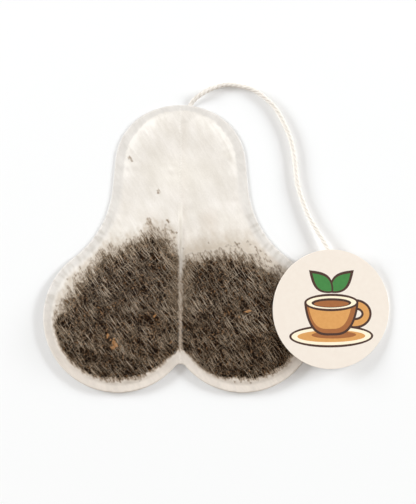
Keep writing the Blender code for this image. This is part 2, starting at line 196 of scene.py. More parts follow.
def swept_tube(path, radii, sides, first):
    """Vertices and faces of a closed round tube along a path. Its first vertex has the number first."""
    _, across, over = path_directions(path)
    turn = np.linspace(0.0, math.tau, sides, endpoint=False)
    rings = path[:, None] + radii[:, None, None] * (
        np.cos(turn)[None, :, None] * across[:, None] + np.sin(turn)[None, :, None] * over[:, None]
    )
    count = len(path)
    faces = [list(range(first + sides - 1, first - 1, -1))]
    for i in range(count - 1):
        low = first + i * sides
        for j in range(sides):
            k = (j + 1) % sides
            faces.append([low + j, low + k, low + sides + k, low + sides + j])
    faces.append(list(range(first + (count - 1) * sides, first + count * sides)))
    return rings.reshape(-1, 3), faces


# Cotton yarn scatters light evenly and looks matt and slightly soft. The eye sees fine hairs along it
# and a warm shade between the plies.
COTTON_HAIR_PER_MM = 9.0
cotton_yarn, cotton_shader = new_material("laid cotton yarn")
cotton_place = add(cotton_yarn, "ShaderNodeTexCoord").outputs["Object"]
cotton_hairs = add(cotton_yarn, "ShaderNodeTexNoise", Vector=cotton_place, Scale=1000 * COTTON_HAIR_PER_MM,
                   Detail=3.0)
cotton_tone = add(cotton_yarn, "ShaderNodeMix", {"data_type": "RGBA"}, Factor=cotton_hairs.outputs["Fac"],
                  i6=linear("#E4DCD2"), i7=linear("#F1ECE5"))
cotton_bump = add(cotton_yarn, "ShaderNodeBump", Strength=0.3, Distance=0.00004,
                  Height=cotton_hairs.outputs["Fac"])
set_sockets(cotton_yarn, cotton_shader, Base_Color=cotton_tone.outputs[2], Roughness=0.92, IOR=1.53,
            Specular_IOR_Level=0.25, Normal=cotton_bump.outputs["Normal"])

string_line, string_length = smooth_route(STRING_ROUTE, STRING_SAMPLE)
string_along, string_across, string_over = path_directions(string_line)
string_distance = np.linspace(0.0, string_length, len(string_line))

# Three plies that just touch would leave gaps, so each is a fifth thicker and presses into the others
ply_radius = STRING_DIAMETER / 2 / (1 + 2 / math.sqrt(3)) * PLY_PRESS
ply_offset = STRING_DIAMETER / 2 - ply_radius
string_vertices = []
string_faces = []
for ply in range(STRING_PLIES):
    twist = math.tau * (ply / STRING_PLIES + string_distance / STRING_LAY)
    centre = string_line + ply_offset * (
        np.cos(twist)[:, None] * string_across + np.sin(twist)[:, None] * string_over
    )
    slub = 1 + 0.07 * np.sin(string_distance / 0.0019 + 2.1 * ply) * np.sin(string_distance / 0.00073 + ply)
    made, sides = swept_tube(centre, ply_radius * slub, STRING_SIDES, len(string_vertices))
    string_vertices += made.tolist()
    string_faces += sides

# Short loose hairs stand off the yarn at its top and sides and lie along it
rng = np.random.default_rng(7)
for _ in range(STRING_HAIRS):
    at = rng.integers(20, len(string_line) - 60)
    angle = rng.uniform(-0.3, math.pi + 0.3)
    out = math.cos(angle) * string_across[at] + math.sin(angle) * string_over[at]
    reach = rng.uniform(0.0001, 0.00035)
    root = string_line[at] + out * STRING_DIAMETER * 0.42
    lean = string_along[at] * rng.uniform(0.0003, 0.001) * rng.choice([-1, 1])
    steps = np.linspace(0.0, 1.0, 5)[:, None]
    hair = root + out * reach * np.sin(steps * 2.2) + lean * steps
    made, sides = swept_tube(hair, HAIR_RADIUS * (1.15 - steps[:, 0]), 3, len(string_vertices))
    string_vertices += made.tolist()
    string_faces += sides

# The heat seal has pressed the yarn flat where it lies between the webs
string_vertices = np.array(string_vertices)
from_end = np.hypot(*(string_vertices[:, :2] - string_line[0, :2]).T)
in_seal = np.clip((SEAL_SQUASH_END - from_end) / SEAL_SQUASH_FADE, 0.0, 1.0)
string_vertices[:, 2] -= SEAL_SQUASH * in_seal * (string_vertices[:, 2] - SEAL_SQUASH_LEVEL)

string = add_piece("cotton_string", string_vertices.tolist(), string_faces, [cotton_yarn])
string.data.shade_smooth()
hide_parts("string")

# Bag. Real piece: two webs of thin filter paper, heat-sealed to each other round the edge and down the
# middle, so that they make two pockets. The paper is mostly see-through where the tea presses against
# it. The outline is a chain of arcs from the notch between the lobes up to the crown, then mirrored.
# A swell or lift goes from its neck value to its lobe value over a length below its start.
NOTCH_RADIUS = 0.00165
NOTCH_HALF_ANGLE = math.radians(49.6)
LOBE_RADIUS = 0.01765
FLANK_RADIUS = 0.0231
FLANK_SWEEP = math.radians(47.7)
NECK_LENGTH = 0.007
NECK_TAPER = math.radians(5.7)
SHOULDER_RADIUS = 0.0139
CROWN_HALF_ANGLE = math.radians(26.0)
PAPER_THICKNESS = 0.00006
RIM_SEAL_WIDTH = 0.0019
MIDDLE_SEAL_WIDTH = 0.0004
LOBE_FULLNESS = 0.0044
LOBE_SLOPE_WIDTH = 0.011
NECK_FULLNESS = 0.0009
NECK_SLOPE_WIDTH = 0.005
POCKET_CORNER = 0.003
SWELL_START = 0.013
SWELL_LENGTH = 0.02
LOBE_SEAL_LIFT = 0.0008
NECK_SEAL_LIFT = 0.00004
LIFT_START = 0.004
LIFT_WIDTH = 0.004
GATHER_WAVES = (0.00052, 0.0021, 0.0037)
NECK_GATHER = 0.00005
LOBE_GATHER = 0.00016
STRING_IN_SEAL = 0.0042
STRING_BUMP_MIDDLE = 0.033
STRING_BUMP_REACH = 0.009
STRING_BUMP_HEIGHT = 0.00032
STRING_BUMP_TOP = 0.0005
STRING_BUMP_SLOPE = 0.002
BLANK_HALF_WIDTH = 0.033
BLANK_HALF_HEIGHT = 0.034
PAPER_GRID = 0.00036
EDGE_STEP = 0.0001


def direction(angle):
    """Unit vector in the plane at an angle from +X."""
    return np.array([math.cos(angle), math.sin(angle)])


def arc(centre, radius, start, end, step):
    """Points along an arc, without its last one."""
    count = max(2, math.ceil(radius * abs(end - start) / step))
    return [centre + radius * direction(start + (end - start) * i / count) for i in range(count)]


def bag_outline(step):
    """The bag's edge, going round from the notch, and the middle of its right lobe."""
    notch_angle = math.pi / 2 - NOTCH_HALF_ANGLE
    flank_angle = NECK_TAPER + FLANK_SWEEP
    crown_angle = math.pi / 2 - CROWN_HALF_ANGLE
    notch = np.array([0.0, -NOTCH_RADIUS])
    lobe = notch + (NOTCH_RADIUS + LOBE_RADIUS) * direction(notch_angle)
    flank = lobe + (LOBE_RADIUS + FLANK_RADIUS) * direction(flank_angle)
    neck_foot = flank - FLANK_RADIUS * direction(NECK_TAPER)
    neck_head = neck_foot + NECK_LENGTH * direction(NECK_TAPER + math.pi / 2)
    shoulder = neck_head - SHOULDER_RADIUS * direction(NECK_TAPER)
    crown_drop = shoulder[0] / math.cos(crown_angle)
    crown = shoulder - crown_drop * direction(crown_angle)
    crown_radius = SHOULDER_RADIUS + crown_drop
    half = arc(notch, NOTCH_RADIUS, math.pi / 2, notch_angle, step)
    half += arc(lobe, LOBE_RADIUS, notch_angle - math.pi, flank_angle, step)
    half += arc(flank, FLANK_RADIUS, math.pi + flank_angle, math.pi + NECK_TAPER, step)
    neck_steps = math.ceil(NECK_LENGTH / step)
    half += [neck_foot + (neck_head - neck_foot) * i / neck_steps for i in range(neck_steps)]
    half += arc(shoulder, SHOULDER_RADIUS, NECK_TAPER, crown_angle, step)
    half += arc(crown, crown_radius, crown_angle, math.pi / 2, step)
    half.append(np.array([0.0, crown[1] + crown_radius]))
    middle = np.array([0.0, (crown[1] + crown_radius + lobe[1] - LOBE_RADIUS) / 2])
    right = np.array(half) - middle
    left = right[1:-1][::-1] * (-1.0, 1.0)
    return np.concatenate([right, left]), lobe - middle


bag_edge, lobe_middle = bag_outline(PAPER_GRID)
fine_edge, _ = bag_outline(EDGE_STEP)
edge_tree = KDTree(len(fine_edge))
for i, point in enumerate(fine_edge):
    edge_tree.insert((*point, 0.0), i)
edge_tree.balance()


def smoothstep(values):
    """Smooth rise from 0 to 1 as the values go from 0 to 1."""
    held = np.clip(values, 0.0, 1.0)
    return held * held * (3.0 - 2.0 * held)


def nearest_edge(points):
    """Distance of each point from the bag's edge, and how far round the edge the nearest place lies."""
    found = [edge_tree.find((x, y, 0.0)) for x, y in points]
    return np.array([item[2] for item in found]), np.array([item[1] for item in found]) * EDGE_STEP


def inside_bag(points):
    """Whether each point is in the bag: a line to its side then crosses the edge an odd number of times."""
    coarse_edge = fine_edge[::6]
    x, y = coarse_edge.T
    next_x, next_y = np.roll(coarse_edge, -1, axis=0).T
    slope = np.divide(next_x - x, next_y - y, out=np.zeros_like(x), where=next_y != y)
    crossings = np.zeros(len(points), int)
    for i in range(len(x)):
        spans = (y[i] > points[:, 1]) != (next_y[i] > points[:, 1])
        crossings += spans & (x[i] + (points[:, 1] - y[i]) * slope[i] > points[:, 0])
    return crossings % 2 == 1


def pocket_depth(points, from_edge):
    """How far a point lies inside its pocket from the nearest seal, rounded in the corners."""
    from_rim = from_edge - RIM_SEAL_WIDTH
    from_middle = np.abs(points[:, 0]) - MIDDLE_SEAL_WIDTH / 2
    corner = np.maximum(POCKET_CORNER - np.abs(from_rim - from_middle), 0.0)
    return np.maximum(np.minimum(from_rim, from_middle) - corner ** 2 / (4 * POCKET_CORNER), 0.0)


def blend_down(neck, lobe, y, start=SWELL_START):
    """A size that goes from its neck value to its lobe value down the bag."""
    return neck + (lobe - neck) * smoothstep((start - y) / SWELL_LENGTH)


def back_height(points, from_edge):
    """Underside of the back web, flat on the table except where it rises to the seals."""
    lift = blend_down(NECK_SEAL_LIFT, LOBE_SEAL_LIFT, points[:, 1], LIFT_START)
    return lift * (1.0 - smoothstep(pocket_depth(points, from_edge) / LIFT_WIDTH))


string_in_seal = string_line[: int(STRING_IN_SEAL / STRING_SAMPLE)]


def string_bump(points):
    """How far the string lifts the front web where it runs through the top seal."""
    lift = np.zeros(len(points))
    close = np.hypot(points[:, 0], points[:, 1] - STRING_BUMP_MIDDLE) < STRING_BUMP_REACH
    gaps = np.linalg.norm(points[close, None] - string_in_seal[None, ::6, :2], axis=2).min(axis=1)
    lift[close] = STRING_BUMP_HEIGHT * (1.0 - smoothstep((gaps - STRING_BUMP_TOP) / STRING_BUMP_SLOPE))
    return lift


def front_height(points, from_edge, around):
    """Underside of the front web, with the small gathers that the seal draws into it."""
    y = points[:, 1]
    depth = pocket_depth(points, from_edge)
    full = blend_down(NECK_FULLNESS, LOBE_FULLNESS, y)
    slope = blend_down(NECK_SLOPE_WIDTH, LOBE_SLOPE_WIDTH, y)
    swell = full * np.sin(math.pi / 2 * np.minimum(depth / slope, 1.0))
    short, middle, long = (around / wave for wave in GATHER_WAVES)
    gathers = np.sin(short + 2 * np.sin(middle)) * np.sin(long)
    reach = smoothstep(depth / 0.001) * (1.0 - smoothstep((depth - 0.001) / 0.0045))
    swell += blend_down(NECK_GATHER, LOBE_GATHER, y) * gathers * reach
    return back_height(points, from_edge) + 2 * PAPER_THICKNESS + np.maximum(swell, string_bump(points))


# One blank serves for both webs: the edge, and an even triangular grid of points inside it
row_height = PAPER_GRID * math.sqrt(3) / 2
last_row = math.ceil(BLANK_HALF_HEIGHT / row_height)
last_column = math.ceil(BLANK_HALF_WIDTH / PAPER_GRID)
blank_rows = np.arange(-last_row, last_row + 1)
blank_columns = np.arange(-last_column, last_column + 1)
grid_x, grid_y = np.meshgrid(blank_columns * PAPER_GRID, blank_rows * row_height)
grid_x = grid_x + (np.abs(blank_rows) % 2 * PAPER_GRID / 2)[:, None]
blank_field = np.stack([grid_x.ravel(), grid_y.ravel()], axis=1)
blank_field = blank_field[inside_bag(blank_field)]
blank_field = blank_field[nearest_edge(blank_field)[0] > PAPER_GRID * 0.6]
blank_points = [Vector(point) for point in np.concatenate([bag_edge, blank_field])]
blank_vertices, _, blank_faces, *_ = delaunay_2d_cdt(
    blank_points, [], [list(range(len(bag_edge)))], 1, 1e-8
)
blank = np.array([tuple(vertex) for vertex in blank_vertices])
blank_gap, blank_around = nearest_edge(blank)
blank_sides = {(face[i], face[(i + 1) % len(face)]) for face in blank_faces for i in range(len(face))}
blank_rim = [(a, b) for a, b in blank_sides if (b, a) not in blank_sides]


def web_mesh(name, heights, materials):
    """One web with its real thickness: the blank twice, joined round the edge."""
    under = np.column_stack([blank, heights])
    over = np.column_stack([blank, heights + PAPER_THICKNESS])
    count = len(blank)
    faces = [[a + count for a in face] for face in blank_faces] + [face[::-1] for face in blank_faces]
    faces += [[a, b, b + count, a + count] for a, b in blank_rim]
    piece = add_piece(name, np.concatenate([under, over]).tolist(), faces, materials)
    piece.data.shade_smooth()
    smooth = np.ones(len(faces), bool)
    smooth[-len(blank_rim):] = False
    piece.data.polygons.foreach_set("use_smooth", smooth)
    return piece


def set_field(piece, name, values):
    """Keeps a number for each point of the blank, for the paper's shader to read."""
    field = piece.data.attributes.new(name, "FLOAT", "POINT")
    field.data.foreach_set("value", np.concatenate([values, values]).astype(np.float32))


# Tea. Real piece: about a gram of cut and dried black leaf in each pocket, loose, heaped higher beside
# the middle seal in the left lobe. It is a dark core with some thousands of small broken flakes on it.
# Each heap's upper edge is an angle from +X in degrees and a reach from the middle of its lobe.
TEA_INSET = 0.0001
LEFT_HEAP_EDGE = [
    (0.0, 0.0145), (12.0, 0.0148), (24.0, 0.0159), (36.0, 0.0179), (48.0, 0.0207), (60.0, 0.0227),
    (66.0, 0.0221), (72.0, 0.0207), (78.0, 0.0184), (90.0, 0.0164), (102.0, 0.0160), (114.0, 0.0140),
    (132.0, 0.0132), (150.0, 0.0127), (168.0, 0.0137), (186.0, 0.0155), (216.0, 0.0154),
    (240.0, 0.0150), (270.0, 0.0145), (300.0, 0.0147), (316.0, 0.0152), (330.0, 0.0161),
    (342.0, 0.0153), (360.0, 0.0145),
]
RIGHT_HEAP_EDGE = [
    (0.0, 0.0149), (24.0, 0.0142), (48.0, 0.0135), (66.0, 0.0136), (78.0, 0.0146), (90.0, 0.0152),
    (102.0, 0.0158), (114.0, 0.0166), (126.0, 0.0180), (134.0, 0.0193), (144.0, 0.0179),
    (156.0, 0.0159), (168.0, 0.0148), (180.0, 0.0145), (198.0, 0.0153), (213.0, 0.0167),
    (228.0, 0.0160), (246.0, 0.0153), (264.0, 0.0143), (288.0, 0.0146), (318.0, 0.0146), (360.0, 0.0149),
]
UPPER_FRINGE = 0.0017
LOWER_FRINGE = 0.0006
CORE_INSET = 0.0004
CORE_FLOOR_GAP = 0.00012
CORE_ROOF_GAP = 0.00025
CORE_EDGE_HEIGHT = 0.0001
CORE_SHOULDER = 0.0022
FLAKES_ON_TOP = 14500
FLAKES_BELOW = 2000
FLAKE_LENGTH = 0.00052
FLAKE_WIDTH = 0.00029
FLAKE_THICKNESS = (0.00008, 0.0002)
STALK_THICKNESS = 0.00016
LOBE_REACH = 0.0255
HEAP_RAYS = 240
HEAP_RINGS = 28


def ray_headings():
    """Unit directions of the rays that a heap's reach is kept along."""
    turns = np.radians(np.arange(HEAP_RAYS) * 360.0 / HEAP_RAYS)
    return np.stack([np.cos(turns), np.sin(turns)], axis=1)


def heap_reach(side, edge):
    """Reach of a heap along each ray, kept inside its pocket by halving."""
    degrees = np.arange(HEAP_RAYS) * 360.0 / HEAP_RAYS
    angles = np.array([item[0] for item in edge])
    reaches = np.array([item[1] for item in edge])
    at = np.clip(np.searchsorted(angles, degrees, side="right") - 1, 0, len(edge) - 2)
    share = smoothstep((degrees - angles[at]) / (angles[at + 1] - angles[at]))
    wanted = reaches[at] + (reaches[at + 1] - reaches[at]) * share
    heading = ray_headings()
    centre = lobe_middle * (side, 1.0)
    low = np.zeros(HEAP_RAYS)
    high = np.full(HEAP_RAYS, 0.03)
    for _ in range(16):
        middle = (low + high) / 2
        points = centre + heading * middle[:, None]
        free = (points[:, 0] * side > 0) & inside_bag(points)
        free &= pocket_depth(points, nearest_edge(points)[0]) > TEA_INSET
        low = np.where(free, middle, low)
        high = np.where(free, high, middle)
    return np.minimum(wanted, low)


def reach_at(reaches, points, centre):
    """Reach of the heap in the direction of each point, and the point's own distance."""
    offset = points - centre
    ray = np.degrees(np.arctan2(offset[:, 1], offset[:, 0])) % 360.0 * HEAP_RAYS / 360.0
    low = ray.astype(int) % HEAP_RAYS
    share = ray - np.floor(ray)
    return reaches[low] * (1 - share) + reaches[(low + 1) % HEAP_RAYS] * share, np.hypot(*offset.T)


heap_reaches = {side: heap_reach(side, edge) for side, edge in ((-1, LEFT_HEAP_EDGE), (1, RIGHT_HEAP_EDGE))}


def streaks(points, turn, length, width, layer):
    """Smooth noise from -1 to 1 that is drawn out along one direction. Each layer has its own pattern."""
    along = points @ direction(turn) / length
    across = points @ direction(turn + math.pi / 2) / width
    return np.array([noise.noise((u, v, layer)) for u, v in zip(along, across)])


def upper_part(points):
    """From 0 in the lower part of a lobe to 1 in its upper part."""
    return smoothstep((points[:, 1] - lobe_middle[1] + 0.003) / 0.008)


def heap_margin(points, side):
    """How far each point lies inside the ragged edge of a heap."""
    reach, distance = reach_at(heap_reaches[side], points, lobe_middle * (side, 1.0))
    upper = upper_part(points)
    fringe = LOWER_FRINGE + (UPPER_FRINGE - LOWER_FRINGE) * upper
    fringe *= 0.2 + 0.8 * smoothstep(np.abs(points[:, 0]) / 0.003)
    ragged = streaks(points, math.radians(-60.0), 0.0019, 0.0008, 2.0 + side)
    ragged = ragged + 0.6 * streaks(points, 0.0, 0.0005, 0.0005, 8.0 + side)
    return np.where(points[:, 0] * side > 0, reach + fringe * ragged - distance, -1.0)


# Dried black leaf is dull, and nearly black to mid brown from flake to flake. Its colour also changes
# within each flake, over about a third of a millimetre.
LEAF_MOTTLE_MM = 0.3
tea_leaf, tea_shader = new_material("cut and dried black leaf")
tea_tone = add(tea_leaf, "ShaderNodeAttribute", {"attribute_name": "leaf_tone"})
tea_place = add(tea_leaf, "ShaderNodeTexCoord").outputs["Object"]
tea_grain = add(tea_leaf, "ShaderNodeTexNoise", Vector=tea_place, Scale=1000 / LEAF_MOTTLE_MM, Detail=3.0)
tea_mix = add(tea_leaf, "ShaderNodeMath", {"operation": "MULTIPLY_ADD"}, i0=tea_grain.outputs["Fac"],
              i1=0.5, i2=tea_tone.outputs["Fac"])
tea_ramp = add(tea_leaf, "ShaderNodeValToRGB", Fac=tea_mix.outputs[0])
tea_stops = tea_ramp.color_ramp.elements
tea_stops[0].color = linear("#0C0703")
tea_stops[1].color = linear("#75563A")
for place, colour in ((0.45, "#1B0F07"), (0.80, "#442E1B")):
    tea_stops.new(place).color = linear(colour)
tea_bump = add(tea_leaf, "ShaderNodeBump", Strength=0.6, Distance=0.00008, Height=tea_grain.outputs["Fac"])
set_sockets(tea_leaf, tea_shader, Base_Color=tea_ramp.outputs["Color"], Roughness=0.9, IOR=1.45,
            Specular_IOR_Level=0.08, Normal=tea_bump.outputs["Normal"])

# Dried stalk is the paler orange wood of the plant, split, with a grain about 0.3 mm wide.
STALK_GRAIN_PER_MM = 3.5
tea_stalk, stalk_shader = new_material("split dried stalk")
stalk_place = add(tea_stalk, "ShaderNodeTexCoord").outputs["Object"]
stalk_grain = add(tea_stalk, "ShaderNodeTexNoise", Vector=stalk_place, Scale=1000 * STALK_GRAIN_PER_MM,
                  Detail=2.0)
stalk_tone = add(tea_stalk, "ShaderNodeMix", {"data_type": "RGBA"}, Factor=stalk_grain.outputs["Fac"],
                 i6=linear("#74471F"), i7=linear("#BE8647"))
set_sockets(tea_stalk, stalk_shader, Base_Color=stalk_tone.outputs[2], Roughness=0.7, IOR=1.5)


FLAKE_FACES = np.array([
    (0, 2, 4), (2, 1, 4), (1, 3, 4), (3, 0, 4), (2, 0, 5), (1, 2, 5), (3, 1, 5), (0, 3, 5),
])


def flakes(centres, depths, sizes, rng):
    """Small broken flakes as squashed eight-sided grains that lie along the web above them."""
    count = len(centres)
    shape = np.array([(1, 0, 0), (-1, 0, 0), (0, 1, 0), (0, -1, 0), (0, 0, 1), (0, 0, -1)], float)
    corners = shape[None] * rng.uniform(0.65, 1.35, (count, 6, 1)) + rng.normal(0.0, 0.16, (count, 6, 3))
    corners *= sizes[:, None, :] / 2
    turn = rng.uniform(0.0, math.tau, count)
    tilt = rng.normal(0.0, 0.35, count)
    x = corners[..., 0] * np.cos(tilt)[:, None] - corners[..., 2] * np.sin(tilt)[:, None]
    z = corners[..., 0] * np.sin(tilt)[:, None] + corners[..., 2] * np.cos(tilt)[:, None]
    y = corners[..., 1]
    plan_x = centres[:, None, 0] + x * np.cos(turn)[:, None] - y * np.sin(turn)[:, None]
    plan_y = centres[:, None, 1] + x * np.sin(turn)[:, None] + y * np.cos(turn)[:, None]
    plan = np.stack([plan_x.ravel(), plan_y.ravel()], axis=1)
    z = z - z.max(axis=1)[:, None] - depths[:, None]
    return plan, z.ravel()


def make_tea(name, side, node, plumes, stalks, seed):
    """One heap: a dark core between the webs, with flakes and stalks close under the front web."""
    reaches = heap_reaches[side]
    centre = lobe_middle * (side, 1.0)
    rng = np.random.default_rng(seed)
    shares = np.linspace(0.0, 1.0, HEAP_RINGS + 1)[1:] ** 0.8
    rings = centre + ray_headings()[None] * (reaches - CORE_INSET)[None, :, None] * shares[:, None, None]
    plan = np.concatenate([[centre], rings.reshape(-1, 2)])
    gap, around = nearest_edge(plan)
    floor = back_height(plan, gap) + CORE_FLOOR_GAP
    roof = front_height(plan, gap, around) - CORE_ROOF_GAP
    reach, distance = reach_at(reaches, plan, centre)
    swell = smoothstep((reach - distance) / CORE_SHOULDER)
    top = floor + CORE_EDGE_HEIGHT + np.maximum(roof - floor - CORE_EDGE_HEIGHT, 0.0) * swell
    count = len(plan)
    vertices = [np.column_stack([plan, floor]), np.column_stack([plan, top])]
    faces = []
    for j in range(HEAP_RAYS):
        k = (j + 1) % HEAP_RAYS
        faces.append([0, 1 + k, 1 + j])
        faces.append([count, count + 1 + j, count + 1 + k])
        for ring in range(HEAP_RINGS - 1):
            a, b = 1 + ring * HEAP_RAYS + j, 1 + ring * HEAP_RAYS + k
            c, d = a + HEAP_RAYS, b + HEAP_RAYS
            faces.append([a, b, d, c])
            faces.append([count + a, count + c, count + d, count + b])
        last = 1 + (HEAP_RINGS - 1) * HEAP_RAYS
        faces.append([last + j, last + k, count + last + k, count + last + j])
    core_faces = len(faces)

    # Past the heap's edge a few flakes lie loose, thinning out over about a millimetre
    spots = []
    wanted = FLAKES_ON_TOP
    while wanted > 0:
        angle = rng.uniform(0.0, math.tau, wanted * 2)
        distance = np.sqrt(rng.uniform(0.0, 1.0, wanted * 2)) * LOBE_REACH
        points = centre + np.stack([np.cos(angle), np.sin(angle)], axis=1) * distance[:, None]
        points = points[inside_bag(points) & (points[:, 0] * side > 0.0)]
        points = points[pocket_depth(points, nearest_edge(points)[0]) > TEA_INSET * 3]
        wisps = np.maximum(streaks(points, math.radians(-62.0), 0.0012, 0.0004, 5.0 + side), 0.0)
        loose = rng.exponential(0.0002, len(points)) * (1.0 + 5.5 * wisps * upper_part(points))
        kept = points[heap_margin(points, side) + loose > 0.0][:wanted]
        spots.append(kept)
        wanted -= len(kept)
    for x, y, wide, high, grains in plumes:
        spots.append(np.array([x, y]) + rng.normal(0.0, 0.4, (grains, 2)) * (wide, high))
    spots = np.concatenate(spots)
    for x, y, length, _ in stalks:
        spots = spots[np.hypot(*(spots - (x, y)).T) > 0.3 * length]
    sizes = np.stack([
        rng.lognormal(math.log(FLAKE_LENGTH), 0.45, len(spots)),
        rng.lognormal(math.log(FLAKE_WIDTH), 0.38, len(spots)),
        rng.uniform(*FLAKE_THICKNESS, len(spots)),
    ], axis=1)
    plan, z = flakes(spots, rng.exponential(0.00009, len(spots)) + 0.00004, sizes, rng)
    gap, around = nearest_edge(plan)
    z = np.maximum(z + front_height(plan, gap, around), back_height(plan, gap) + PAPER_THICKNESS * 1.3)
    vertices.append(np.column_stack([plan, z]))
    tones = [np.full(2 * count, 0.1), np.repeat(rng.beta(1.0, 2.0, len(spots)) * 0.9, 6)]

    chips = np.array(stalks)
    chip_sizes = np.column_stack([chips[:, 2:], np.full(len(chips), STALK_THICKNESS)])
    plan, z = flakes(chips[:, :2], np.full(len(chips), 0.00001), chip_sizes, rng)
    gap, around = nearest_edge(plan)
    vertices.append(np.column_stack([plan, z + front_height(plan, gap, around)]))
    tones.append(np.full(6 * len(chips), 0.5))

    below = spots[: FLAKES_BELOW]
    plan, z = flakes(below, np.zeros(len(below)), sizes[: len(below)], rng)
    gap, _ = nearest_edge(plan)
    vertices.append(np.column_stack([plan, back_height(plan, gap) + 0.00008 - z * 0.5]))
    tones.append(np.repeat(rng.beta(1.0, 2.0, len(below)) * 0.9, 6))

    first = 2 * count + 6 * np.arange(len(spots) + len(chips) + len(below))
    faces += (first[:, None, None] + FLAKE_FACES[None]).reshape(-1, 3).tolist()
    piece = add_piece(name, np.concatenate(vertices).tolist(), faces, [tea_leaf, tea_stalk])
    tone = piece.data.attributes.new("leaf_tone", "FLOAT", "POINT")
    tone.data.foreach_set("value", np.concatenate(tones).astype(np.float32))
    slots = np.zeros(len(faces), np.int32)
    first_chip = core_faces + 8 * len(spots)
    slots[first_chip: first_chip + 8 * len(chips)] = 1
    piece.data.polygons.foreach_set("material_index", slots)
    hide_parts(node)
    return spots


# Loose flakes away from the heaps, as middle, width, height and number
LEFT_PLUMES = [
    (-0.0117, 0.0212, 0.0008, 0.0006, 8), (-0.0051, 0.0136, 0.0003, 0.0008, 4),
    (-0.0073, 0.0060, 0.0008, 0.0017, 26), (-0.0066, 0.0040, 0.0014, 0.0020, 60),
    (-0.0030, 0.0066, 0.0004, 0.0007, 7), (-0.0034, 0.0045, 0.0009, 0.0014, 14),
    (-0.0085, 0.0030, 0.0010, 0.0012, 20), (-0.0020, 0.0036, 0.0003, 0.0003, 3),
    (-0.0302, -0.0196, 0.0005, 0.0030, 7), (-0.0286, -0.0256, 0.0008, 0.0012, 4),
]
RIGHT_PLUMES = [
    (0.0213, -0.0029, 0.0010, 0.0008, 8), (0.0232, -0.0043, 0.0014, 0.0008, 8),
    (0.0139, 0.0012, 0.0040, 0.0008, 8), (0.0249, -0.0276, 0.0003, 0.0003, 2),
]
# Pale bits of stalk against the paper, as middle, length and width
LEFT_STALKS = [
    (-0.0159, -0.0208, 0.0018, 0.0010), (-0.0157, -0.0213, 0.0020, 0.0013),
    (-0.0154, -0.0219, 0.0020, 0.0013), (-0.0151, -0.0225, 0.0018, 0.0011),
    (-0.0155, -0.0231, 0.0016, 0.0009), (-0.0061, -0.0158, 0.0018, 0.0007),
    (-0.0169, -0.0202, 0.0013, 0.0007), (-0.0152, -0.0122, 0.0015, 0.0005),
]
RIGHT_STALKS = [(0.0159, -0.0146, 0.0016, 0.0008)]
tea_spots = np.concatenate([
    make_tea("tea_leaf_left", -1, "tea_left", LEFT_PLUMES, LEFT_STALKS, 11),
    make_tea("tea_leaf_right", 1, "tea_right", RIGHT_PLUMES, RIGHT_STALKS, 12),
])

# Filter paper is a thin felt of long plant fibres. The eye sees cloudy white where two webs lie over
# the pale table, single fibres over the dark tea, a greyer band where the seal has pressed the felt
# clear, and a bright fluffed line along the inner edge of the seal. The fibres run mostly one way.
# The real ones are about 0.02 mm thick, too fine to show, so they are drawn four times as wide.
FIBRE_SETS = (
    # turn in degrees, length and width in millimetres, and how white the strands are
    (-55.0, 5.0, 0.08, 0.48),
    (-45.0, 4.4, 0.075, 0.37),
    (-66.0, 4.6, 0.075, 0.31),
    (-20.0, 3.2, 0.08, 0.24),
    (38.0, 3.6, 0.08, 0.29),
    (84.0, 3.0, 0.08, 0.22),
)


